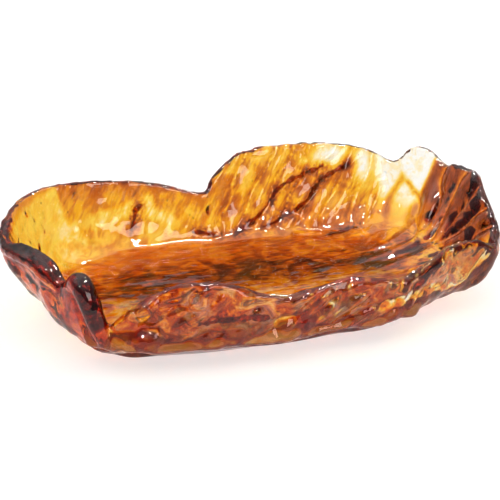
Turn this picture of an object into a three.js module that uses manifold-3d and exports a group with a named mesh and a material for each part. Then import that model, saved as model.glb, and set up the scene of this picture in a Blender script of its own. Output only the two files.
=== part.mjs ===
// A free-form art glass bowl: a long, shallow dish of thick hot-worked glass with a ruffled, polished rim.
// It is cased glass. A clear outer gather, the casing, carries an amber lining that stops short of the rim,
// and threads of dark brown glass lie between the two. Four clear bumper pads stand under the foot's ground
// flat. Millimetres, +Z up, the long side along X, the low front wall towards -Y. The origin is on the
// surface that the bowl stands on, under the middle of its outline.
import * as THREE from "three";
import { mergeVertices } from "three/addons/utils/BufferGeometryUtils.js";
import Module from "manifold-3d";

const { clamp, lerp, smoothstep } = THREE.MathUtils;
const wasm = await Module();
wasm.setup();

// ----------------------------------------------------------------------------------------------------
// Driving dimensions
// ----------------------------------------------------------------------------------------------------
const rimLength = 470; // along X, over the middle of the rim's edge
const rimDepth = 251; // along Y, the same
const rimHeight = 104; // the rim's highest point above the flat of the foot
const footLength = 292; // the ground flat under the bowl, along X
const footDepth = 196; // and along Y
const footSquareness = 3.2; // 2 is an ellipse, and more is nearer a rectangle
const footShift = new THREE.Vector2(-18, -5); // the middle of the foot from the middle of the rim
const floorThickness = 16; // the glass under the bowl's floor
const wallThickness = 8.5; // halfway up the wall; the rim's own thickness is in its stations
const liningThickness = 2.6; // the amber layer, on the inside
const glassGap = 0.3; // kept between pieces that touch
const liningMargin = 6; // of bare clear glass between the lining and the rim
const clearLobe = { from: 4.6, to: 8.6, drop: 46 }; // the rim stations where the lining stops lower
const threadRadius = 1.7;
const threadSway = 0.12; // how far a thread wanders from the straight, as a share of its run
const padDiameter = 12.7;
const padTopDiameter = 10.2;
const padHeight = 3.5;
const padBevel = 0.5;
const padInset = 46; // from the edge of the foot to the middle of a pad, along X and along Y

// The section of the wall, as shares of its flare: how far the floor runs on, and where it turns upright
const floorReach = 0.75;
const wallReach = 0.82;
const bulgeRise = 0.6; // under 1 brings the widest part of the outside's bulge nearer the foot
const openAbove = 2; // how far the lining's room is cut clear above the inner face

// How finely the free-form surfaces are cut into facets
const stepsPerStation = 3;
const wallSteps = 6;
const floorSteps = 2;
const rimSteps = 2;
const threadSteps = 7;
const threadSides = 8;
const padSides = 24;

// The rim, anticlockwise from its front right corner. Each station is x and y as shares of half the rim's
// length and depth, z as a share of its height, the thickness of the glass there, and how far the outside of
// the wall bulges below it, both in millimetres.
const rimStations = [
  [0.875, -0.73, 0.59, 12, 12], // front right corner
  [0.95, -0.46, 0.625, 10, 10],
  [0.985, -0.17, 0.765, 8.5, 5],
  [1.0, 0.08, 0.89, 8, 0], // right end
  [0.985, 0.28, 0.895, 7.5, 0],
  [0.95, 0.47, 0.86, 7, 0], // pinch between the right end and the clear lobe
  [0.93, 0.64, 0.935, 6.5, 0], // clear lobe
  [0.86, 0.76, 0.94, 6.5, 0],
  [0.795, 0.81, 0.79, 6.5, 0], // notch
  [0.69, 0.9, 0.895, 7, 0],
  [0.55, 0.94, 0.975, 7, 0], // back lobe
  [0.31, 0.98, 1.0, 7, 0],
  [0.08, 0.98, 0.96, 7, 0],
  [0.0, 0.96, 0.85, 7, 0],
  [-0.055, 0.94, 0.725, 7, 0],
  [-0.09, 0.9, 0.62, 7.5, 0], // notch between the two back lobes
  [-0.22, 0.945, 0.69, 7.5, 0],
  [-0.34, 0.975, 0.76, 7, 0],
  [-0.58, 0.98, 0.835, 7, 0], // back left lobe
  [-0.77, 0.86, 0.875, 7.5, 0],
  [-0.875, 0.72, 0.865, 8, 0],
  [-0.945, 0.53, 0.85, 8.5, 0],
  [-0.985, 0.31, 0.815, 9, 0],
  [-1.0, 0.09, 0.765, 9.5, 0], // left tip, where the edge rolls outwards
  [-0.945, -0.1, 0.78, 12, 1],
  [-0.9, -0.26, 0.795, 10, 5],
  [-0.86, -0.39, 0.73, 9, 8],
  [-0.83, -0.49, 0.63, 9, 10], // valley before the fold
  [-0.8, -0.6, 0.695, 13, 11], // the fold that stands up like a finger
  [-0.775, -0.68, 0.585, 14, 12],
  [-0.75, -0.755, 0.23, 9, 12], // pleat, where the rim falls almost to the floor
  [-0.675, -0.805, 0.4, 9, 10],
  [-0.555, -0.9, 0.63, 9, 7], // front wall
  [-0.42, -0.975, 0.74, 8.5, 3],
  [-0.29, -1.0, 0.71, 8.5, 2],
  [-0.18, -1.0, 0.607, 8.5, 2],
  [-0.07, -1.01, 0.553, 8.5, 2],
  [0.05, -1.0, 0.563, 8.5, 2],
  [0.2, -0.985, 0.617, 8.5, 2],
  [0.33, -1.0, 0.573, 9, 2],
  [0.45, -0.985, 0.558, 9.5, 3],
  [0.55, -0.91, 0.62, 11, 6],
  [0.68, -0.81, 0.69, 13, 9], // the rolled front right edge
  [0.8, -0.76, 0.67, 14, 12],
];

// Flutes pressed into the inside of the wall: from and to are rim stations, depth is in millimetres, and
// twist is how many flutes the pattern leans sideways between the floor and the rim.
const flutes = [
  { name: "right end columns", from: 0.5, to: 5.5, count: 4, depth: 6, twist: 0.3 },
  { name: "back lobe flutes", from: 8, to: 15, count: 6, depth: 3.2, twist: -1.4 },
  { name: "left end hollows", from: 19.5, to: 24.5, count: 2, depth: 2.4, twist: 0.2 },
];

// Dark threads: each runs between two places on the wall, given as a rim station and a share of the wall.
const threads = [
  { from: [9.6, 0.86], to: [11.4, 0.18] },
  { from: [10.3, 0.8], to: [12.3, 0.12] },
  { from: [8.4, 0.3], to: [9.3, 0.1] },
  { from: [13.6, 0.16], to: [15.6, 0.3] },
  { from: [17.2, 0.72], to: [17.5, 0.4] },
  { from: [33.2, 0.5], to: [35.6, 0.62] },
];

// ----------------------------------------------------------------------------------------------------
// The free-form surfaces
// ----------------------------------------------------------------------------------------------------
const stations = rimStations.length;
const around = stations * stepsPerStation;
const rimEdge = new THREE.CatmullRomCurve3(
  rimStations.map(([x, y, z]) => new THREE.Vector3((x * rimLength) / 2, (y * rimDepth) / 2, z * rimHeight)),
  true,
  "centripetal",
);
const rimSwell = new THREE.CatmullRomCurve3(
  rimStations.map(([, , , thickness, bulge]) => new THREE.Vector3(thickness, bulge, 0)),
  true,
  "catmullrom",
);

// The edge of the foot's flat on the way out to a point: a superellipse.
function footEdge(outwards) {
  const x = Math.abs(outwards.x / (footLength / 2)) ** footSquareness;
  const y = Math.abs(outwards.y / (footDepth / 2)) ** footSquareness;
  const reach = (x + y) ** (-1 / footSquareness);
  return outwards.clone().multiplyScalar(reach).add(footShift);
}

// How far the flutes push the inside of the wall inwards, at a station and a share w of the wall.
function fluteDepth(station, w) {
  let depth = 0;
  for (const f of flutes) {
    const along = (station - f.from) / (f.to - f.from);
    if (along <= 0 || along >= 1 || w <= 0 || w >= 1) continue;
    const fade = Math.sin(Math.PI * along) ** 0.5 * Math.sin(Math.PI * w) ** 0.6;
    depth += f.depth * fade * Math.sin(Math.PI * (f.count * along + f.twist * w)) ** 2;
  }
  return depth;
}

// The wall in the upright plane through the middle of the foot at one station. at(w, depth) is the point
// that lies depth into the glass from the inner face, with w 0 at the edge of the foot and 1 at the rim.
// floorAt is the same over the foot, from its middle to its edge.
function wallAt(station) {
  const t = (((station / stations) % 1) + 1) % 1;
  const rim = rimEdge.getPoint(t);
  const { x: edge, y: bulge } = rimSwell.getPoint(t);
  const outwards = new THREE.Vector2(rim.x - footShift.x, rim.y - footShift.y).normalize();
  const foot = footEdge(outwards);
  const flare = new THREE.Vector2(rim.x, rim.y).sub(foot).dot(outwards) - edge / 2;
  const rise = rim.z - floorThickness;
  const profile = new THREE.CubicBezierCurve(
    new THREE.Vector2(0, 0),
    new THREE.Vector2(flare * floorReach, 0),
    new THREE.Vector2(flare * wallReach, rise * 0.5),
    new THREE.Vector2(flare, rise),
  );
  const length = profile.getLength();
  const thicknessAt = (w) => {
    const low = lerp(floorThickness, wallThickness, smoothstep(w, 0, 0.4));
    return lerp(low, edge, smoothstep(w, 0.5, 1));
  };
  const at = (w, depth = 0) => {
    const p = profile.getPointAt(w);
    const along = profile.getTangentAt(w);
    const pushed = depth - fluteDepth(station, w) * (1 - depth / thicknessAt(w));
    const swell = bulge * Math.sin(Math.PI * w ** bulgeRise) * (depth / thicknessAt(w));
    const r = p.x + along.y * pushed + swell;
    return new THREE.Vector3(
      foot.x + outwards.x * r,
      foot.y + outwards.y * r,
      floorThickness + p.y - along.x * pushed,
    );
  };
  const floorAt = (share, depth = 0) => {
    const x = lerp(footShift.x, foot.x, share);
    const y = lerp(footShift.y, foot.y, share);
    return new THREE.Vector3(x, y, floorThickness - depth);
  };
  return { at, floorAt, thicknessAt, edge, length };
}

const shares = (steps) => Array.from({ length: steps + 1 }, (_, k) => k / steps);

// The points of the whole body's section at one station, from the middle of the underside out to the rim and
// back to the middle of the floor.
function bodySection(station) {
  const wall = wallAt(station);
  const under = shares(floorSteps).map((s) => wall.floorAt(s, floorThickness));
  const outside = shares(wallSteps).slice(1).map((w) => wall.at(w, wall.thicknessAt(w)));
  const inner = wall.at(1);
  const outer = wall.at(1, wall.edge);
  const middle = inner.clone().add(outer).multiplyScalar(0.5);
  const rounded = shares(rimSteps + 1).slice(1, -1).map((s) => {
    const lift = new THREE.Vector3(0, 0, (wall.edge / 2) * Math.sin(Math.PI * s));
    return outer.clone().sub(middle).multiplyScalar(Math.cos(Math.PI * s)).add(middle).add(lift);
  });
  const inside = shares(wallSteps).reverse().map((w) => wall.at(w));
  const floor = shares(floorSteps).reverse().slice(1).map((s) => wall.floorAt(s));
  return [...under, ...outside, ...rounded, ...inside, ...floor];
}

// The share of the wall where the lining stops.
function liningTop(station, wall) {
  const along = clamp((station - clearLobe.from) / (clearLobe.to - clearLobe.from), 0, 1);
  const drop = clearLobe.drop * Math.sin(Math.PI * along) ** 2;
  return 1 - (liningMargin + drop) / wall.length;
}

// The lining's section, from the middle of its underside round to the middle of the bowl's floor. With a
// clearance it is the room that the lining takes up in the body, also cut open above the inner face.
function liningSection(station, clearance = 0) {
  const wall = wallAt(station);
  const deep = liningThickness + clearance;
  const high = clearance && -openAbove;
  const top = liningTop(station, wall);
  const end = top + (2 * clearance) / wall.length;
  const under = shares(floorSteps).map((s) => wall.floorAt(s, deep));
  const behind = shares(wallSteps).slice(1).map((w) => wall.at(w < 1 ? w * top : end, deep));
  const inside = shares(wallSteps).reverse().map((w) => wall.at(w < 1 ? w * top : end, high));
  const floor = shares(floorSteps).reverse().slice(1).map((s) => wall.floorAt(s, high));
  return [...under, ...behind, ...inside, ...floor];
}

// A closed skin through the sections of every station: a lathe's grid with each vertex moved to its place.
function skin(sectionAt) {
  const points = sectionAt(0).length;
  const grid = new THREE.LatheGeometry(
    Array.from({ length: points }, (_, k) => new THREE.Vector2(1, k)),
    around,
  );
  const place = grid.getAttribute("position");
  for (let i = 0; i <= around; i++) {
    const section = sectionAt((i % around) / stepsPerStation);
    section.forEach((p, k) => place.setXYZ(i * points + k, p.x, p.y, p.z));
  }
  return grid;
}

// ----------------------------------------------------------------------------------------------------
// Solids
// ----------------------------------------------------------------------------------------------------
function solid(geometry) {
  const bare = new THREE.BufferGeometry().setAttribute("position", geometry.getAttribute("position"));
  if (geometry.index) bare.setIndex(geometry.index);
  const merged = mergeVertices(bare, 1e-4);
  return new wasm.Manifold(
    new wasm.Mesh({
      numProp: 3,
      vertProperties: merged.getAttribute("position").array,
      triVerts: new Uint32Array(merged.index.array),
    }),
  );
}

function geometryOf(made) {
  const mesh = made.getMesh();
  return new THREE.BufferGeometry()
    .setAttribute("position", new THREE.BufferAttribute(new Float32Array(mesh.vertProperties), 3))
    .setIndex(new THREE.BufferAttribute(new Uint32Array(mesh.triVerts), 1));
}

// A thread's solid. depth is how far its middle lies below the inner face. A clearance makes it thicker and
// longer, as the room that it takes up in the casing.
function threadSolid({ from, to }, depth, clearance = 0) {
  const path = new THREE.CatmullRomCurve3(
    shares(4).map((s) => {
      const station = lerp(from[0], to[0], s + threadSway * Math.sin(s * Math.PI * 2));
      return wallAt(station).at(lerp(from[1], to[1], s), depth);
    }),
  );
  path.points.at(0).addScaledVector(path.getTangent(0), -clearance);
  path.points.at(-1).addScaledVector(path.getTangent(1), clearance);
  const section = new THREE.Shape().absarc(0, 0, threadRadius + clearance, 0, Math.PI * 2);
  const settings = { steps: threadSteps, curveSegments: threadSides / 2, extrudePath: path };
  return solid(new THREE.ExtrudeGeometry(section, settings));
}

function bumperPad() {
  const profile = new THREE.Path()
    .moveTo(0, 0)
    .lineTo(padDiameter / 2 - padBevel, 0)
    .lineTo(padDiameter / 2, padBevel)
    .lineTo(padTopDiameter / 2, padHeight)
    .lineTo(0, padHeight);
  return new THREE.LatheGeometry(profile.getPoints(), padSides).rotateX(Math.PI / 2);
}

// ----------------------------------------------------------------------------------------------------
// The bowl
// ----------------------------------------------------------------------------------------------------
const clearGlass = new THREE.MeshStandardMaterial({ color: 0xe8dccb, roughness: 0.03, metalness: 0 });
const amberGlass = new THREE.MeshStandardMaterial({ color: 0xc9650f, roughness: 0.04, metalness: 0 });
const brownGlass = new THREE.MeshStandardMaterial({ color: 0x3a1208, roughness: 0.06, metalness: 0 });
const clearRubber = new THREE.MeshStandardMaterial({ color: 0xd9dcd8, roughness: 0.45, metalness: 0 });

const bowl = new THREE.Group();
const glass = new THREE.Group(); // stands on the pads
glass.position.z = padHeight + glassGap;
bowl.add(glass);

function add(parent, name, geometry, material) {
  const mesh = new THREE.Mesh(geometry, material);
  mesh.name = name;
  parent.add(mesh);
  return mesh;
}

const liningRoom = solid(skin((station) => liningSection(station, glassGap)));
const threadDepth = liningThickness + glassGap + threadRadius * 0.8;
let casing = solid(skin(bodySection)).subtract(liningRoom);
threads.forEach((thread, k) => {
  casing = casing.subtract(threadSolid(thread, threadDepth, glassGap));
  const bead = threadSolid(thread, threadDepth).subtract(liningRoom);
  add(glass, `dark_thread_${k + 1}`, geometryOf(bead), brownGlass);
});
add(glass, "clear_casing", geometryOf(casing), clearGlass);
add(glass, "amber_lining", skin(liningSection), amberGlass);

let padNumber = 1;
for (const x of [-1, 1]) {
  for (const y of [-1, 1]) {
    const pad = add(bowl, `foot_pad_${padNumber++}`, bumperPad(), clearRubber);
    pad.position.set(
      footShift.x + x * (footLength / 2 - padInset),
      footShift.y + y * (footDepth / 2 - padInset),
      0,
    );
  }
}

// The origin goes under the middle of the outline.
const outline = new THREE.Box3().setFromObject(bowl);
const middle = outline.getCenter(new THREE.Vector3());
bowl.children.forEach((child) => child.position.sub(new THREE.Vector3(middle.x, middle.y, 0)));

export default bowl;
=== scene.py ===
"""A long free-form bowl of thick hot-worked amber glass, on a pale studio table."""

import math
import random

import bpy
import numpy as np
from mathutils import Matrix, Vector, noise
from mathutils.bvhtree import BVHTree
from mathutils.kdtree import KDTree


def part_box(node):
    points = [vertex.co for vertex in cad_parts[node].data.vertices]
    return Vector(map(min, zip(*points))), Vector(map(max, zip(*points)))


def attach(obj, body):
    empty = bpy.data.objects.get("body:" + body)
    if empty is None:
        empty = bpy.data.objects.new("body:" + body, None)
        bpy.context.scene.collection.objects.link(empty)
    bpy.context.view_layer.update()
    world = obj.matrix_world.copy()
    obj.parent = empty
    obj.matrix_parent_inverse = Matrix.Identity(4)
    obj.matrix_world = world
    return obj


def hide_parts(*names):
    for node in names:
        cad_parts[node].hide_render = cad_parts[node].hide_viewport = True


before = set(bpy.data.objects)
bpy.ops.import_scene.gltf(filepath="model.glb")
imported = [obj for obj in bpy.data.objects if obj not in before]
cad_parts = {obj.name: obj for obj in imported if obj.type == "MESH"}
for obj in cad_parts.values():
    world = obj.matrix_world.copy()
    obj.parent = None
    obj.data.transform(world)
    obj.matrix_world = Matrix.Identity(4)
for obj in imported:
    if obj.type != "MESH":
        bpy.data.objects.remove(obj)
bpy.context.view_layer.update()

MM = 0.001
scene = bpy.context.scene
LINING_THICKNESS = 2.6 * MM
FOOT_Z = Vector(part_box("clear_casing")[0]).z  # the ground flat under the glass
FLOOR_Z = Vector(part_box("amber_lining")[0]).z + LINING_THICKNESS  # the bowl's floor, on top of the lining
THREADS = [f"dark_thread_{k}" for k in range(1, 7)]
PADS = [f"foot_pad_{k}" for k in range(1, 5)]

# Places above the hollow: glass that faces one of them with nothing in between is on the inside of the bowl
HOLLOW = [Vector((-110, 5, 150)) * MM, Vector((0, 0, 170)) * MM, Vector((120, 5, 150)) * MM]

# Rods of glass worked into the body, as places along each with its radius there, in mm
FOLD_ROLL = [((-188, -66, 70), 6), ((-187, -77, 80), 8.5), ((-182, -87, 81), 10), ((-178, -93, 68), 9.5),
             ((-174, -97, 50), 8.5), ((-169, -97, 32), 8), ((-161, -92, 19), 7)]
LEFT_EDGE_ROLL = [((-229, 52, 86), 2.5), ((-234, 34, 86), 4), ((-237, 12, 81), 5), ((-228, -11, 82), 5.5),
                  ((-216, -30, 83), 5.5), ((-206, -47, 76), 5), ((-198, -58, 66), 4)]

# How fine the glass is modelled, and where the amber lies in it
BODY_VOXEL = 2.1 * MM
THREAD_VOXEL = 0.6 * MM
BARE_RIM = 6  # mesh edges between the lining and the rim
LINING_DEPTH = 0.6 * MM  # below the skin of the hollow
LINING_DRAWN = 1.6 * MM  # thinner than in CAD, to stay inside the glass where it is pressed thin
LINING_FACES = 0.42  # of the faces that the body has there
FLUTE_DEPTH = 4.5  # mm, in the tall back lobe
COLUMN_DEPTH = 8  # mm, round the right end

# Short dark dashes in the back wall, as middles and reaches in x and z, in mm
DASHES = [((-62, 80), (3, 7)), ((-76, 84), (6, 3)), ((-104, 88), (7, 3)), ((-93, 74), (3, 6)),
          ((-35, 72), (8, 2.5)), ((-128, 90), (5, 2.5))]

TABLE_SIZE = 14.0  # metres

BUBBLE_COUNT = 40
BUBBLE_RADII = (0.4, 0.9)  # mm
BUBBLE_HEIGHTS = (30, 96)  # mm above the table
BUBBLE_DEPTH = 3  # mm under the skin
BUBBLE_WALL = 7  # mm, the thinnest glass that holds one


# --------------------------------------------------------------------------------------------------
# Helpers
# --------------------------------------------------------------------------------------------------
def linear(hex_colour):
    """An sRGB hex colour as linear RGBA."""
    parts = [int(hex_colour[i : i + 2], 16) / 255 for i in (1, 3, 5)]
    return (*[p / 12.92 if p <= 0.04045 else ((p + 0.055) / 1.055) ** 2.4 for p in parts], 1.0)


def add(tree, kind, inputs=None, **settings):
    """Adds a node with its settings, and sets or links its inputs."""
    made = tree.nodes.new(kind)
    for name, value in settings.items():
        setattr(made, name, value)
    for name, value in (inputs or {}).items():
        if isinstance(value, bpy.types.NodeSocket):
            tree.links.new(value, made.inputs[name])
        else:
            made.inputs[name].default_value = value
    return made


def material(name):
    """A new material with an empty node tree."""
    made = bpy.data.materials.new(name)
    made.use_nodes = True
    made.node_tree.nodes.clear()
    return made, made.node_tree


def deselect():
    if bpy.context.mode != "OBJECT":
        bpy.ops.object.mode_set(mode="OBJECT")
    bpy.ops.object.select_all(action="DESELECT")


def choose(piece):
    """Makes one piece the only one selected, and the active one."""
    deselect()
    piece.select_set(True)
    bpy.context.view_layer.objects.active = piece


def apply_modifier(piece, kind, **settings):
    """Adds a modifier with its settings and applies it."""
    choose(piece)
    modifier = piece.modifiers.new(kind.lower(), kind)
    for name, value in settings.items():
        setattr(modifier, name, value)
    bpy.ops.object.modifier_apply(modifier=modifier.name)


def merged_copy(name, *nodes):
    """One new object from copies of CAD nodes, with the corners that their loose triangles share merged."""
    deselect()
    for node in nodes:
        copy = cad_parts[node].copy()
        copy.data = copy.data.copy()
        scene.collection.objects.link(copy)
        copy.select_set(True)
        bpy.context.view_layer.objects.active = copy
    if len(nodes) > 1:
        bpy.ops.object.join()
    piece = bpy.context.view_layer.objects.active
    piece.name = name
    piece.data.materials.clear()
    bpy.ops.object.mode_set(mode="EDIT")
    bpy.ops.mesh.select_all(action="SELECT")
    bpy.ops.mesh.remove_doubles(threshold=0.02 * MM)
    bpy.ops.object.mode_set(mode="OBJECT")
    return piece


def finished(piece, finish, slot, *nodes):
    """Gives a piece its material and its body, and hides the CAD nodes that it stands for. The slot is not
    used.
    """
    piece.data.materials.clear()
    piece.data.materials.append(finish)
    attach(piece, "root")
    if nodes:
        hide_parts(*nodes)


def smooth(a, b, x):
    """Smoothly from 0 at a to 1 at b, for a value or an array."""
    t = np.clip((x - a) / (b - a), 0.0, 1.0)
    return t * t * (3 - 2 * t)


# --------------------------------------------------------------------------------------------------
# The skin of the glass, and the tools that shape it
# --------------------------------------------------------------------------------------------------
class Skin:
    """The vertices of a piece of glass as arrays, in mm, with what the shaping and tinting ask of them."""

    def __init__(self, piece):
        self.piece = piece
        mesh = piece.data
        count = len(mesh.vertices)
        self.p = np.empty(count * 3, dtype=np.float32)
        mesh.vertices.foreach_get("co", self.p)
        self.p = self.p.reshape(-1, 3) / MM
        self.n = np.empty(count * 3, dtype=np.float32)
        mesh.vertex_normals.foreach_get("vector", self.n)
        self.n = self.n.reshape(-1, 3)
        self.x, self.y, self.z = self.p.T
        self.nz = self.n[:, 2]
        edges = np.empty(len(mesh.edges) * 2, dtype=np.int32)
        mesh.edges.foreach_get("vertices", edges)
        self.edges = edges.reshape(-1, 2)

    def soften(self, values, steps):
        """Evens out values between neighbours."""
        a, b = self.edges.T
        neighbours = np.bincount(a, minlength=len(values)) + np.bincount(b, minlength=len(values))
        for _ in range(steps):
            total = np.bincount(a, values[b], len(values)) + np.bincount(b, values[a], len(values))
            values = 0.5 * values + 0.5 * total / np.maximum(neighbours, 1)
        return values

    def facing_hollow(self):
        """1 where a straight line runs freely to a place above the hollow, and 0 on the outside."""
        off_the_skin = 0.5 * MM
        tree = BVHTree.FromObject(self.piece, bpy.context.evaluated_depsgraph_get())
        seen = np.zeros(len(self.p))
        for k, (place, normal) in enumerate(zip(self.p, self.n)):
            start = Vector(place) * MM + Vector(normal) * off_the_skin
            for target in HOLLOW:
                way = target - start
                if way.dot(Vector(normal)) > 0 and tree.ray_cast(start, way, way.length)[0] is None:
                    seen[k] = 1
                    break
        return seen

    def group(self, name, values):
        """Keeps values as a vertex group, for a modifier to read."""
        made = self.piece.vertex_groups.new(name=name)
        for k in np.nonzero(values > 0.002)[0]:
            made.add([int(k)], float(values[k]), "REPLACE")

    def paint(self, name, values):
        """Keeps numbers or vectors as an attribute, for a material to read."""
        kind = "FLOAT" if values.ndim == 1 else "FLOAT_VECTOR"
        layer = self.piece.data.attributes.new(name, kind, "POINT")
        layer.data.foreach_set("value" if values.ndim == 1 else "vector", values.astype(np.float32).ravel())

    def near(self, place, reach):
        """1 at a place, falling to 0 over a reach in x, y and z."""
        away = (self.p - np.array(place)) / np.array(reach)
        return np.exp(-(away**2).sum(axis=1))


def rod(route):
    """A round tapering rod of hot glass along a route of places and radii in mm."""
    curve = bpy.data.curves.new("rod", "CURVE")
    curve.dimensions = "3D"
    curve.bevel_depth = MM
    curve.bevel_resolution = 5
    curve.use_fill_caps = True
    curve.resolution_u = 6
    line = curve.splines.new("NURBS")
    line.points.add(len(route) - 1)
    line.use_endpoint_u = True
    line.order_u = 4
    for point, (place, radius) in zip(line.points, route):
        point.co = (*(Vector(place) * MM), 1)
        point.radius = radius
    made = bpy.data.objects.new("rod", curve)
    scene.collection.objects.link(made)
    choose(made)
    bpy.ops.object.convert(target="MESH")
    return bpy.context.object


def join(piece, others):
    """Makes other pieces part of this one."""
    choose(piece)
    for other in others:
        other.select_set(True)
    bpy.ops.object.join()


def press(piece, group, texture, depth, scale=(1, 1, 1), turn=(0, 0, 0), middle=0.5):
    """Presses a pattern into the glass where a vertex group says, stretched and turned by an empty.

    The depth is in mm from the lowest to the highest place, and the middle is the share that goes inwards.
    """
    deselect()
    bpy.ops.object.empty_add(rotation=[math.radians(a) for a in turn])
    guide = bpy.context.object
    guide.scale = scale
    apply_modifier(piece, "DISPLACE", texture=texture, texture_coords="OBJECT", texture_coords_object=guide,
                   vertex_group=group, strength=depth * MM, mid_level=middle)
    bpy.data.objects.remove(guide)


def lumps(name, size, **settings):
    """Soft lumps of a size in mm."""
    made = bpy.data.textures.new(name, "CLOUDS")
    made.noise_scale = size * MM
    for key, value in settings.items():
        setattr(made, key, value)
    return made


def facets(name, size):
    """Pillows of a size in mm with sharp valleys between them, as on glass chilled against a rough block."""
    made = bpy.data.textures.new(name, "VORONOI")
    made.noise_scale = size * MM
    made.weight_1, made.weight_2 = -1.0, 1.0
    return made


# --------------------------------------------------------------------------------------------------
# Materials
# --------------------------------------------------------------------------------------------------
# White light after more and more of the amber: clear, straw, yellow, orange, red brown, near black
AMBER = [(0.0, "#F7F6F3"), (0.14, "#F7DE94"), (0.28, "#F2B01A"), (0.42, "#E58203"), (0.56, "#C65003"),
         (0.70, "#962A03"), (0.84, "#5A1204"), (1.0, "#1E0603")]


def amber(tree, depth, faces):
    """The colour of glass by how much amber is in it, shared out over the faces that light goes through."""
    ladder = add(tree, "ShaderNodeValToRGB", {"Fac": depth})
    stops = ladder.color_ramp.elements
    stops[0].position, stops[0].color = AMBER[0][0], linear(AMBER[0][1])
    stops[1].position, stops[1].color = AMBER[-1][0], linear(AMBER[-1][1])
    for place, colour in AMBER[1:-1]:
        stops.new(place).color = linear(colour)
    shared = add(tree, "ShaderNodeGamma", {"Color": ladder.outputs["Color"], "Gamma": 1 / faces})
    return shared.outputs["Color"]


def streaked_depth(tree, contrast, flecks):
    """The painted depth of amber, broken up by clouds, by streaks along the flow, and by dark flecks."""
    depth = add(tree, "ShaderNodeAttribute", attribute_name="amber_depth").outputs["Fac"]
    flow = add(tree, "ShaderNodeAttribute", attribute_name="flow").outputs["Vector"]
    place = add(tree, "ShaderNodeTexCoord").outputs["Object"]
    # Clouds of about 40 mm. The other scales count in the lengths that flow_of sets, such as 11 by 36 mm.
    cloud = add(tree, "ShaderNodeTexNoise", {
        "Vector": place, "Scale": 26.0, "Detail": 2.0, "Distortion": 2.2})
    streak = add(tree, "ShaderNodeTexNoise", {
        "Vector": flow, "Scale": 1.0, "Detail": 3.0, "Roughness": 0.5, "Distortion": 1.6})
    fleck = add(tree, "ShaderNodeTexNoise", {
        "Vector": flow, "Scale": 3.1, "Detail": 2.0, "Distortion": 0.3})
    grain = add(tree, "ShaderNodeTexNoise", {
        "Vector": flow, "Scale": 4.2, "Detail": 3.0, "Distortion": 0.6})
    fold = add(tree, "ShaderNodeTexVoronoi", {"Vector": flow, "Scale": 0.55, "Randomness": 1.0})
    shade = add(tree, "ShaderNodeSeparateColor", {"Color": fold.outputs["Color"]}).outputs["Red"]
    fine = add(tree, "ShaderNodeMath", {0: grain.outputs["Fac"], 1: 0.75, 2: cloud.outputs["Fac"]},
               operation="MULTIPLY_ADD")
    folded = add(tree, "ShaderNodeMath", {0: shade, 1: 0.14, 2: fine.outputs["Value"]},
                 operation="MULTIPLY_ADD")
    both = add(tree, "ShaderNodeMath", {0: folded.outputs["Value"], 1: streak.outputs["Fac"]},
               operation="ADD")
    swing = add(tree, "ShaderNodeMapRange", {
        "Value": both.outputs["Value"], "From Min": 1.2, "From Max": 1.68,
        "To Min": -contrast, "To Max": contrast}, interpolation_type="SMOOTHSTEP")
    dark = add(tree, "ShaderNodeMapRange", {
        "Value": fleck.outputs["Fac"], "From Min": 0.68, "From Max": 0.73, "To Min": 0.0, "To Max": flecks})
    body = add(tree, "ShaderNodeMath", {0: swing.outputs["Result"], 1: dark.outputs["Result"]},
               operation="ADD")
    lively = add(tree, "ShaderNodeAttribute", attribute_name="liveliness").outputs["Fac"]
    seam = add(tree, "ShaderNodeAttribute", attribute_name="seam").outputs["Fac"]
    # Seeds of 3 mm along the brown threads. The real ones are finer, and are drawn coarser here to show.
    seed = add(tree, "ShaderNodeTexNoise", {"Vector": place, "Scale": 330.0, "Detail": 1.0})
    seeds = add(tree, "ShaderNodeMapRange", {
        "Value": seed.outputs["Fac"], "From Min": 0.42, "From Max": 0.58, "To Min": 0.1, "To Max": 0.45})
    seamed = add(tree, "ShaderNodeMath", {0: seam, 1: seeds.outputs["Result"]}, operation="MULTIPLY")
    change = add(tree, "ShaderNodeMath", {0: body.outputs["Value"], 1: lively, 2: seamed.outputs["Value"]},
                 operation="MULTIPLY_ADD")
    return add(tree, "ShaderNodeMath", {0: depth, 1: change.outputs["Value"]}, operation="ADD",
               use_clamp=True).outputs["Value"]


def casing_glass():
    """Fire-polished soda glass: wet-looking and clear, warmer where it is thick, dull under the foot."""
    made, tree = material("fire_polished_soda_glass")
    place = add(tree, "ShaderNodeTexCoord").outputs["Object"]
    height = add(tree, "ShaderNodeSeparateXYZ", {"Vector": place}).outputs["Z"]
    dull = add(tree, "ShaderNodeMapRange", {
        "Value": height, "From Min": FOOT_Z + 0.4 * MM, "From Max": FOOT_Z + 2.5 * MM,
        "To Min": 0.5, "To Max": 0.015})
    # Ripples of 7 mm, barely felt, left by the fire polish
    ripple = add(tree, "ShaderNodeTexNoise", {"Vector": place, "Scale": 140.0, "Detail": 2.0})
    bump = add(tree, "ShaderNodeBump", {
        "Height": ripple.outputs["Fac"], "Strength": 0.15, "Distance": 1.0 * MM})
    shader = add(tree, "ShaderNodeBsdfPrincipled", {
        "Base Color": amber(tree, streaked_depth(tree, contrast=0.12, flecks=0.0), faces=1),
        "Roughness": dull.outputs["Result"], "IOR": 1.5, "Transmission Weight": 1.0,
        "Normal": bump.outputs["Normal"]})
    body = add(tree, "ShaderNodeVolumeAbsorption", {"Color": linear("#F8E6C0"), "Density": 9.0})
    add(tree, "ShaderNodeOutputMaterial", {
        "Surface": shader.outputs["BSDF"], "Volume": body.outputs["Volume"]})
    return made


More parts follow.
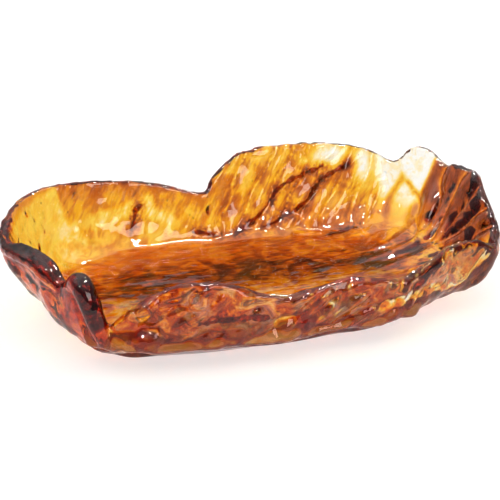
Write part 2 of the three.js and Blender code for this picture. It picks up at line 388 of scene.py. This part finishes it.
def lining_glass():
    """Amber glass cased inside clear glass of the same index: it colours the light and bends none of it."""
    made, tree = material("cased_amber_glass")
    shader = add(tree, "ShaderNodeBsdfPrincipled", {
        "Base Color": amber(tree, streaked_depth(tree, contrast=0.26, flecks=0.35), faces=2),
        "Roughness": 0.0, "IOR": 1.0, "Specular IOR Level": 0.0, "Transmission Weight": 1.0})
    add(tree, "ShaderNodeOutputMaterial", {"Surface": shader.outputs["BSDF"]})
    return made


def thread_glass():
    """Dark brown glass laid on in threads: almost black, red brown where it thins out."""
    made, tree = material("trailed_brown_glass")
    place = add(tree, "ShaderNodeTexCoord").outputs["Object"]
    # Thin and thick places of 4 mm along the thread
    grain = add(tree, "ShaderNodeTexNoise", {"Vector": place, "Scale": 260.0, "Detail": 3.0})
    depth = add(tree, "ShaderNodeMapRange", {
        "Value": grain.outputs["Fac"], "From Min": 0.35, "From Max": 0.65, "To Min": 0.55, "To Max": 0.98})
    shader = add(tree, "ShaderNodeBsdfPrincipled", {
        "Base Color": amber(tree, depth.outputs["Result"], faces=2), "Roughness": 0.05, "IOR": 1.02,
        "Transmission Weight": 1.0})
    add(tree, "ShaderNodeOutputMaterial", {"Surface": shader.outputs["BSDF"]})
    return made


def pad_rubber():
    """Cast clear polyurethane: milky, soft edged and a little tacky."""
    made, tree = material("cast_clear_polyurethane")
    place = add(tree, "ShaderNodeTexCoord").outputs["Object"]
    # Cloudy places of 2.5 mm in the matt skin
    haze = add(tree, "ShaderNodeTexNoise", {"Vector": place, "Scale": 400.0, "Detail": 3.0})
    rough = add(tree, "ShaderNodeMapRange", {"Value": haze.outputs["Fac"], "To Min": 0.3, "To Max": 0.5})
    shader = add(tree, "ShaderNodeBsdfPrincipled", {
        "Base Color": linear("#EDEBE4"), "Roughness": rough.outputs["Result"], "IOR": 1.46,
        "Transmission Weight": 0.8})
    add(tree, "ShaderNodeOutputMaterial", {"Surface": shader.outputs["BSDF"]})
    return made


# --------------------------------------------------------------------------------------------------
# The glass
# --------------------------------------------------------------------------------------------------
def regions(skin, hollow):
    """The parts of the bowl's surface by name, each as a weight from 0 to 1 on every vertex.

    Each part fades in between two places in x, y or z, in mm, and hollow is 1 on the inside of the bowl.
    """
    x, y, z, nz = skin.x, skin.y, skin.z, skin.nz
    floor_z = FLOOR_Z / MM
    out = {}
    wide = skin.soften(hollow, 14) if hollow.min() < 0.5 else hollow  # a piece all inside has no rim
    out["below_rim"] = smooth(0.12, 0.75, np.abs(2 * wide - 1))  # 0 along the rim itself
    out["outside"] = 1 - hollow
    out["floor"] = hollow * smooth(0.7, 0.95, nz) * smooth(floor_z + 18, floor_z + 4, z)
    out["wall"] = hollow * (1 - out["floor"])
    out["front"] = smooth(-58, -84, y) * smooth(-180, -150, x)
    out["back"] = smooth(35, 75, y)
    out["back_left"] = out["back"] * smooth(0, -30, x)
    out["back_lobe"] = out["back"] * smooth(-20, 0, x) * smooth(172, 158, x)
    out["clear_lobe"] = smooth(160, 176, x) * smooth(60, 76, y)
    out["right_end"] = smooth(175, 205, x) * (1 - out["clear_lobe"])
    out["left_end"] = smooth(-165, -200, x) * smooth(-60, -20, y)
    out["finger"] = smooth(-160, -172, x) * smooth(-48, -62, y)
    out["roll"] = smooth(100, 135, x) * smooth(-60, -85, y)  # the rolled edge at the front right
    out["under"] = smooth(0.6, 0.9, -nz) * smooth(20, 8, z)
    return out


def flow_of(skin, part):
    """Coordinates that stretch a pattern along the flow of the glass: along the floor, up the walls.

    Each is a length in mm divided by how long the pattern is in that direction.
    """
    x, y, z = skin.x, skin.y, skin.z
    level = np.stack([x / 36, y / 11, z / 14], axis=1)  # long streaks down the length of the floor
    lean = 0.55  # of the back wall's streaks, sideways for each mm up
    slanting = np.stack([(x - lean * z) / 13, y / 20, (z + lean * x) / 60], axis=1)
    upright = np.stack([x / 12, y / 12, z / 55], axis=1)
    rough = skin.p / 17
    weights = [part["floor"] + 0.001, part["back"] * part["wall"] + 0.001, part["right_end"] * part["wall"],
               part["front"] + part["outside"] * 0.7]
    total = sum(weights)
    mixed = sum(w[:, None] * v for w, v in zip(weights, [level, slanting, upright, rough]))
    return mixed / total[:, None]


class Coat:
    """The amber in the glass at each vertex, from 0 for clear to 1 for nearly black, laid on in passes."""

    def __init__(self, skin, start):
        self.depth = np.full(len(skin.p), start)

    def lay(self, weight, value):
        self.depth = self.depth * (1 - weight) + value * weight


def lay_floor(coat, skin, part):
    """Orange brown at the left and the back, dark red along the middle and the right.

    It is paler again behind the front wall, so that more light comes up through the two together.
    """
    x, y = skin.x, skin.y
    right = smooth(40, 90, x)
    floor = 0.62 + 0.22 * smooth(72, 18, y) * (1 - right) - 0.06 * right + 0.34 * smooth(34, 20, y) * right
    floor -= 0.10 * smooth(-90, -170, x) + 0.42 * smooth(8, -26, y)
    coat.lay(np.clip(part["floor"] * 1.3, 0, 1), floor)


def lay_back(coat, skin, part):
    """Yellow with orange above it and two pale panes at the left, which are painted reflections, and
    streaked amber in the tall lobe.
    """
    z = skin.z
    coat.lay(part["back_left"] * part["wall"], 0.45 + 0.08 * smooth(52, 60, z) + 0.12 * smooth(70, 84, z))
    # Painted reflections: two pale panes of less amber in the back wall stand in for light reflected there
    coat.lay(pane(skin, (-108, 58), 34, 8, 12) * part["back"], 0.31)
    coat.lay(pane(skin, (-70, 50), 16, 6, -20) * part["back"], 0.29)
    coat.lay(part["back_lobe"] * part["wall"], 0.59 - 0.06 * smooth(40, 80, z))


def lay_clear_lobe(coat, skin, part):
    """Clear at the top with an arch of amber across it, and amber at the foot of the wall."""
    x, z = skin.x, skin.z
    arch = np.exp(-((np.abs(z - 74 + 1.6 * np.abs(x - 192)) / 5) ** 2))
    coat.lay(part["clear_lobe"] * part["wall"], 0.5 * arch + 0.46 * smooth(66, 28, z))


def lay_flutes(coat, skin, part, wave):
    """Dark columns round the right end with paler valleys, and in the tall lobe a painted highlight on the
    flutes: less amber on their crowns and a bright line in each valley.
    """
    between = np.exp(-((crown(column_phase(skin, wave)) / 0.3) ** 2))
    coat.lay(part["right_end"] * part["wall"], 0.84 - 0.36 * between)
    ridge = crown(lobe_phase(skin, wave))
    # Painted highlight: the lobe's flutes get lighter crowns and a thin bright line in each valley, with
    # darker glass beside it
    painted_flute_highlights = 0.10 - 0.16 * ridge**3 - 0.34 * np.exp(-((ridge / 0.16) ** 2))
    coat.depth = coat.depth + part["back_lobe"] * part["wall"] * painted_flute_highlights * smooth(25, 45, skin.z)


def lay_clear_places(coat, skin, part):
    """Two clear places under the rim of the tall lobe, with a red brown band between them."""
    coat.lay(skin.near((116, 118, 97), (24, 30, 13)) * part["wall"], 0.0)
    coat.lay(skin.near((154, 105, 84), (12, 30, 20)) * part["wall"], 0.0)
    coat.lay(skin.near((136, 108, 82), (6, 30, 14)) * part["wall"], 0.66)


def lay_left_end(coat, skin, part):
    """A pale window, an orange edge above it, short dark dashes beside it, and the dark tip."""
    coat.lay(part["left_end"] * part["wall"], 0.52)
    coat.lay(pane(skin, (-196, 56), 30, 34, 14) * smooth(20, 50, skin.y), 0.33)
    coat.lay(pane(skin, (-160, 38), 10, 16, 14) * part["back"], 0.34)
    for (x, z), (wide, tall) in DASHES:
        coat.lay(skin.near((x, 121, z), (wide, 20, tall)) * part["back"], 0.85)
    coat.lay(skin.near((-205, 40, 40), (20, 40, 22)) * part["wall"], 0.36)
    coat.lay(skin.near((-226, -8, 80), (16, 22, 18)), 0.85)


def lining_depth(skin, part):
    """How much amber the lining holds, place by place."""
    coat = Coat(skin, 0.45)
    lay_floor(coat, skin, part)
    lay_back(coat, skin, part)
    lay_clear_lobe(coat, skin, part)
    lay_flutes(coat, skin, part, waver(skin))
    lay_clear_places(coat, skin, part)
    lay_left_end(coat, skin, part)
    # The front wall holds little amber, less towards the right: partly its own colour, and partly painted
    # light for the bright patches and highlights on it
    coat.lay(part["front"] * part["wall"], 0.29 - 0.17 * smooth(45, 95, skin.x))
    coat.lay(part["finger"], 0.52)
    return coat.depth


def pane(skin, middle, half_width, half_height, lean):
    """1 inside a four-sided pane of the wall, with edges as crisp as a fold in the glass.

    Its middle is in x and z, its sizes are in mm, and its lean is in degrees, all as seen from the front.
    """
    turn = math.radians(lean)
    across, along = skin.x - middle[0], skin.z - middle[1]
    u = across * math.cos(turn) + along * math.sin(turn)
    v = along * math.cos(turn) - across * math.sin(turn)
    inside_width = smooth(half_width + 1.5, half_width - 1.5, np.abs(u))
    inside_height = smooth(half_height + 3, half_height - 3, np.abs(v))
    return inside_width * inside_height


def thread_seam(skin):
    """1 along the brown threads and fading out beside them, where fine seeds are drawn out with them."""
    places = [v.co.copy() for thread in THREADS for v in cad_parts[thread].data.vertices]
    tree = KDTree(len(places))
    for k, place in enumerate(places):
        tree.insert(place, k)
    tree.balance()
    away = np.array([tree.find(Vector(place) * MM)[2] for place in skin.p]) / MM
    reach = 5.5  # mm
    return np.exp(-((away / reach) ** 2))


def casing_depth(skin, part):
    """The amber in the casing itself: most in the fold and the left tip, with painted shade that darkens the
    foot and the underside along the front.
    """
    y, z = skin.y, skin.z
    coat = Coat(skin, 0.0)
    coat.lay(part["finger"] * smooth(16, 30, z), 0.34)
    coat.lay(skin.near((-228, -6, 80), (14, 24, 22)), 0.6)
    coat.lay(part["left_end"] * part["outside"] * smooth(30, -10, y), 0.22)
    # Painted shade: the outside below the skirt at the front, and the underside towards the front, are made
    # dark where shade falls under the bowl
    coat.lay(part["outside"] * smooth(-40, -70, y) * smooth(22, 15, z), 0.84)
    coat.lay(part["under"], 0.22 + 0.62 * smooth(-50, -80, y))
    coat.lay(part["right_end"] * part["outside"] * smooth(0, 20, 95 - z), 0.14)
    return coat.depth


def shape_body(piece):
    """The relief of the glass: chilled lumps outside, ripples, flutes and columns inside."""
    skin = Skin(piece)
    hollow = skin.soften(skin.facing_hollow(), 3)
    part = regions(skin, hollow)
    y, z = skin.y, skin.z
    out, wall = part["outside"], part["wall"]
    above_foot = smooth(9, 20, z)
    around_thread = skin.near((-58, -121, 45), (48, 16, 12))
    curl = skin.near((196, -84, 70), (42, 36, 18))
    smoothed = 0.85 * part["roll"] + 0.8 * part["finger"] + 0.9 * around_thread + 0.8 * curl
    calm = np.clip(1 - smoothed, 0, 1) * part["below_rim"]
    groups = {
        "skirt": out * part["front"] * smooth(10, 20, z) * smooth(58, 30, z),
        "foot": out * smooth(-30, -60, y) * (1 - part["under"]) * smooth(24, 16, z),
        "outside": out * above_foot * calm,
        "front": out * part["front"] * smooth(20, 28, z) * calm,
        "floor": part["floor"],
        "inside": wall * smooth(22, 30, z) * (1 - 0.5 * part["right_end"]) * part["below_rim"],
    }
    for name, values in groups.items():
        skin.group(name, values)
    press(piece, "skirt", lumps("skirt_lumps", 35), 7, middle=0.15)
    press(piece, "foot", lumps("foot_draw", 80), -5, middle=-0.4)
    press(piece, "outside", lumps("wall_lumps", 34, noise_depth=2), 9, middle=0.3)
    press(piece, "front", facets("front_facets", 50), 24, scale=(1.5, 1, 0.7), turn=(0, -30, 0),
          middle=0.14)
    press(piece, "front", facets("front_crinkles", 22), 12, scale=(1.4, 1, 0.8), turn=(0, -40, 0),
          middle=0.12)
    press(piece, "front", facets("small_facets", 18), 4, middle=0.12)
    press(piece, "outside", lumps("small_lumps", 16), 2)
    press(piece, "floor", lumps("floor_swell", 24), 2.4, scale=(2.5, 1, 1))
    press(piece, "floor", lumps("floor_ripples", 9), 1.8, scale=(3, 1, 1), turn=(0, 0, 6))
    press(piece, "inside", lumps("inner_swell", 30), 4, middle=0.35)
    press(piece, "inside", facets("inner_facets", 34), 5, scale=(0.8, 1, 1.6), turn=(0, 28, 0),
          middle=0.15)
    piece.vertex_groups.clear()


def lobe_phase(skin, wave):
    """Counts the leaning flutes of the tall back lobe."""
    width, lean = 23, 0.5  # mm, and mm sideways for each mm up
    return (skin.x - lean * skin.z) / width + 0.45 * wave


def column_phase(skin, wave):
    """Counts the columns round the right end, which fan out from a place on the floor."""
    middle_x, width = 165, 21  # mm, and degrees
    return np.degrees(np.arctan2(skin.y, skin.x - middle_x)) / width + 0.3 * wave


def crown(phase):
    """1 along the middle of each flute or column and 0 in the valleys between them."""
    across = phase - np.floor(phase)
    return 1 - (2 * across - 1) ** 2


def flute(piece, weight, phase, depth):
    """Raises crowned flutes of a depth in mm with sharp valleys, one for each whole number of the phase."""
    skin = Skin(piece)
    sunk = 0.35  # the share of the depth that goes into the glass, as valleys
    moved = skin.p + skin.n * (weight * depth * (crown(phase) - sunk))[:, None]
    piece.data.vertices.foreach_set("co", (moved * MM).astype(np.float32).ravel())
    piece.data.update()


def waver(skin):
    """A slow noise over the glass, from -1 to 1, which bends the flutes and the colour along them alike."""
    size = 30  # mm
    shift = Vector((5, 0, 0))
    return np.array([noise.noise(Vector(place) / size + shift) for place in skin.p])


def bowl_glass():
    """The whole body of the glass, as one clear piece with its relief, its rolls, flutes and columns."""
    piece = merged_copy("bowl_glass", "clear_casing", "amber_lining")
    join(piece, [rod(LEFT_EDGE_ROLL), rod(FOLD_ROLL)])
    apply_modifier(piece, "REMESH", mode="VOXEL", voxel_size=BODY_VOXEL)
    apply_modifier(piece, "SMOOTH", factor=0.5, iterations=3)
    shape_body(piece)
    skin = Skin(piece)
    part = regions(skin, skin.soften(skin.facing_hollow(), 3))
    wave = waver(skin)
    up_wall = part["wall"] * part["below_rim"] * smooth(20, 33, skin.z)
    flute(piece, up_wall * part["back_lobe"] * smooth(-5, 20, skin.x), lobe_phase(skin, wave),
          FLUTE_DEPTH * (0.75 + 0.5 * wave))
    flute(piece, up_wall * part["right_end"], column_phase(skin, wave),
          COLUMN_DEPTH * (0.85 + 0.3 * wave))
    apply_modifier(piece, "SMOOTH", factor=0.5, iterations=1)

    skin = Skin(piece)
    hollow = skin.soften(skin.facing_hollow(), 2)
    part = regions(skin, hollow)
    skin.paint("amber_depth", casing_depth(skin, part))
    skin.paint("liveliness", np.clip(0.15 + part["outside"], 0, 1))
    skin.paint("flow", flow_of(skin, part))
    skin.paint("hollow", hollow)
    choose(piece)
    bpy.ops.object.shade_smooth()
    return piece


def liveliness(skin, part):
    """How strongly the streaks break up the amber: fully on the floor, less where the glass is clear, and
    more on the front wall, where the pale patches are partly painted light.
    """
    # More on the front wall: its pale patches partly stand in for light coming through the lumps, as painted
    # light
    quiet = (0.7 * part["clear_lobe"] + 0.45 * part["back"] + 0.65 * part["right_end"]
             + 0.6 * part["left_end"] + 0.15 * part["back_left"]
             + 0.5 * skin.near((116, 118, 97), (26, 30, 14)) + 0.5 * skin.near((154, 105, 84), (14, 30, 22))
             - 0.5 * part["front"] * part["wall"])
    return np.clip(1.0 - quiet, 0.15, 1.5)


def amber_lining(bowl):
    """The amber layer, a little under the skin of the hollow, taken off the finished inside of the bowl."""
    skin = Skin(bowl)
    hollow = np.empty(len(skin.p), dtype=np.float32)
    bowl.data.attributes["hollow"].data.foreach_get("value", hollow)
    keep = skin.soften(smooth(0.2, 0.8, hollow), BARE_RIM) > 0.7
    deselect()
    copy = bowl.copy()
    copy.data = bowl.data.copy()
    scene.collection.objects.link(copy)
    copy.name = "amber_glass_lining"
    copy.vertex_groups.new(name="keep").add([int(k) for k in np.nonzero(keep)[0]], 1.0, "REPLACE")
    for name in ("amber_depth", "liveliness", "flow", "hollow"):
        copy.data.attributes.remove(copy.data.attributes[name])
    apply_modifier(copy, "MASK", vertex_group="keep", threshold=0.5)
    copy.vertex_groups.clear()
    apply_modifier(copy, "DECIMATE", ratio=LINING_FACES)
    apply_modifier(copy, "DISPLACE", strength=-LINING_DEPTH, mid_level=0)
    apply_modifier(copy, "SOLIDIFY", thickness=LINING_DRAWN, offset=-1)
    skin = Skin(copy)
    skin.nz = np.abs(skin.nz)  # both faces of the layer count as facing up on the floor
    part = regions(skin, np.ones(len(skin.p)))
    part["outside"] = np.zeros(len(skin.p))
    skin.paint("amber_depth", lining_depth(skin, part))
    skin.paint("liveliness", liveliness(skin, part))
    skin.paint("seam", thread_seam(skin))
    skin.paint("flow", flow_of(skin, part))
    choose(copy)
    bpy.ops.object.shade_smooth()
    return copy


def dark_thread(node, finish):
    """A thread of brown glass, made ragged where it was dragged out by the working of the bowl."""
    piece = merged_copy(node.replace("dark_thread", "brown_thread"), node)
    apply_modifier(piece, "REMESH", mode="VOXEL", voxel_size=THREAD_VOXEL)
    apply_modifier(piece, "SMOOTH", factor=0.5, iterations=3)
    press(piece, "", lumps(node + "_ragged", 7), 6, middle=0.42)
    press(piece, "", lumps(node + "_beaded", 2.5), 1.4)
    choose(piece)
    bpy.ops.object.shade_smooth()
    finished(piece, finish, "brown_glass", node)


def bubble_air():
    """Air in glass: tiny bright-rimmed beads."""
    made, tree = material("trapped_air")
    place = add(tree, "ShaderNodeTexCoord").outputs["Object"]
    # A film of 1.7 mm patches on the wall of the bubble
    film = add(tree, "ShaderNodeTexNoise", {"Vector": place, "Scale": 600.0})
    rough = add(tree, "ShaderNodeMapRange", {"Value": film.outputs["Fac"], "To Min": 0.0, "To Max": 0.06})
    shader = add(tree, "ShaderNodeBsdfPrincipled", {
        "Base Color": linear("#FFFFFF"), "Roughness": rough.outputs["Result"], "IOR": 0.667,
        "Transmission Weight": 1.0})
    add(tree, "ShaderNodeOutputMaterial", {"Surface": shader.outputs["BSDF"]})
    return made


def bubbles(bowl):
    """Seeds of air left in the walls, in the clear glass and past the lining."""
    chance = random.Random(7)
    skin = Skin(bowl)
    lowest, highest = BUBBLE_HEIGHTS
    places = np.nonzero((skin.z > lowest) & (skin.z < highest))[0]
    made = []
    while len(made) < BUBBLE_COUNT:
        k = int(places[chance.randrange(len(places))])
        place, normal = Vector(skin.p[k]), Vector(skin.n[k])
        size = chance.uniform(*BUBBLE_RADII)
        hit, other, _, _ = bowl.ray_cast((place - normal * 0.5) * MM, -normal)
        if not hit or (other / MM - place).length < BUBBLE_WALL:
            continue
        deselect()
        bpy.ops.mesh.primitive_ico_sphere_add(subdivisions=2, radius=size * MM,
                                              location=(place - normal * BUBBLE_DEPTH) * MM)
        bead = bpy.context.object
        bead.scale = (1, 1, chance.uniform(1.0, 1.8))
        bpy.ops.object.transform_apply(location=True, rotation=True, scale=True)
        made.append(bead)
    piece = made[0]
    join(piece, made[1:])
    piece.name = "bubbles"
    bpy.ops.object.transform_apply(location=True, rotation=True, scale=True)
    bpy.ops.object.shade_smooth()
    finished(piece, bubble_air(), "clear_glass")


bowl = bowl_glass()
bubbles(bowl)
lining = amber_lining(bowl)
finished(bowl, casing_glass(), "clear_glass", "clear_casing")
finished(lining, lining_glass(), "amber_glass", "amber_lining")
brown = thread_glass()
for thread in THREADS:
    dark_thread(thread, brown)
rubber = pad_rubber()
for pad in PADS:
    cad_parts[pad].data.materials.clear()
    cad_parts[pad].data.materials.append(rubber)


# --------------------------------------------------------------------------------------------------
# The table, the light and the camera
# --------------------------------------------------------------------------------------------------
def table_top():
    """A wide pale table that glows a little, so that light comes up through the glass."""
    deselect()
    bpy.ops.mesh.primitive_plane_add(size=TABLE_SIZE, location=(0, 0, 0))
    table = bpy.context.object
    table.name = "table_top"
    made, tree = material("backlit_white_acrylic")
    shader = add(tree, "ShaderNodeBsdfPrincipled", {
        "Base Color": linear("#A6A5A3"), "Roughness": 0.8, "Emission Color": linear("#FFFFFF"),
        "Emission Strength": 0.68})
    add(tree, "ShaderNodeOutputMaterial", {"Surface": shader.outputs["BSDF"]})
    table.data.materials.append(made)


def softbox(name, place, aim, size, power):
    """A lamp that shows as a highlight on the glass and lights nothing else."""
    lamp = bpy.data.lights.new(name, "AREA")
    lamp.shape = "RECTANGLE"
    lamp.size, lamp.size_y = size
    lamp.energy = power
    holder = bpy.data.objects.new(name, lamp)
    holder.location = place
    holder.rotation_euler = (Vector(aim) - Vector(place)).to_track_quat("-Z", "Y").to_euler()
    holder.visible_diffuse = False
    holder.visible_transmission = False
    scene.collection.objects.link(holder)


def studio_world():
    """Soft white light from overhead and from behind the bowl, and dimmer from the front and low down."""
    world = bpy.data.worlds.new("studio")
    scene.world = world
    world.use_nodes = True
    tree = world.node_tree
    tree.nodes.clear()
    direction = add(tree, "ShaderNodeTexCoord").outputs["Generated"]
    parts = add(tree, "ShaderNodeSeparateXYZ", {"Vector": direction})
    overhead = add(tree, "ShaderNodeMapRange", {
        "Value": parts.outputs["Z"], "From Min": 0.4, "From Max": 0.85, "To Min": 0.5, "To Max": 1.9},
        interpolation_type="SMOOTHSTEP")
    ahead = add(tree, "ShaderNodeMapRange", {
        "Value": parts.outputs["Y"], "From Min": -0.6, "From Max": 0.2, "To Min": 0.5, "To Max": 1.0})
    strength = add(tree, "ShaderNodeMath", {0: overhead.outputs["Result"], 1: ahead.outputs["Result"]},
                   operation="MULTIPLY")
    light = add(tree, "ShaderNodeBackground", {
        "Color": linear("#FFFFFF"), "Strength": strength.outputs["Value"]})
    add(tree, "ShaderNodeOutputWorld", {"Surface": light.outputs["Background"]})


def camera():
    """A long lens a little to the left of the bowl and above it."""
    azimuth, elevation, distance = math.radians(-17), math.radians(24), 1.150
    aim = Vector((-2.5, 14, 45.8)) * MM
    back = Vector((math.sin(azimuth) * math.cos(elevation), -math.cos(azimuth) * math.cos(elevation),
                   math.sin(elevation)))
    lens = bpy.data.cameras.new("camera")
    lens.lens = 85
    holder = bpy.data.objects.new("camera", lens)
    holder.location = aim + back * distance
    holder.rotation_euler = (-back).to_track_quat("-Z", "Y").to_euler()
    scene.collection.objects.link(holder)
    scene.camera = holder


table_top()
studio_world()
# Places, aims and sizes in metres, power in watts
softbox("left_catchlight", (-0.7, -0.5, 1.2), (0, 0, 0.05), (0.16, 0.12), 14)
softbox("front_catchlight", (0.15, -0.42, 1.25), (0, -0.1, 0.05), (0.34, 0.2), 15)
softbox("right_catchlight", (0.5, 0.5, 1.1), (0, 0, 0.05), (0.14, 0.1), 9)
softbox("window_glow", (0.3, -1.0, 0.5), (0, -0.1, 0.05), (0.7, 0.5), 6)
camera()
scene.view_settings.view_transform = "Standard"
scene.view_settings.gamma = 0.9
# Enough bounces for light to pass through both walls, the lining in each, and what it meets between them
scene.cycles.max_bounces = 24
scene.cycles.transmission_bounces = 24
scene.cycles.glossy_bounces = 12
scene.cycles.transparent_max_bounces = 32
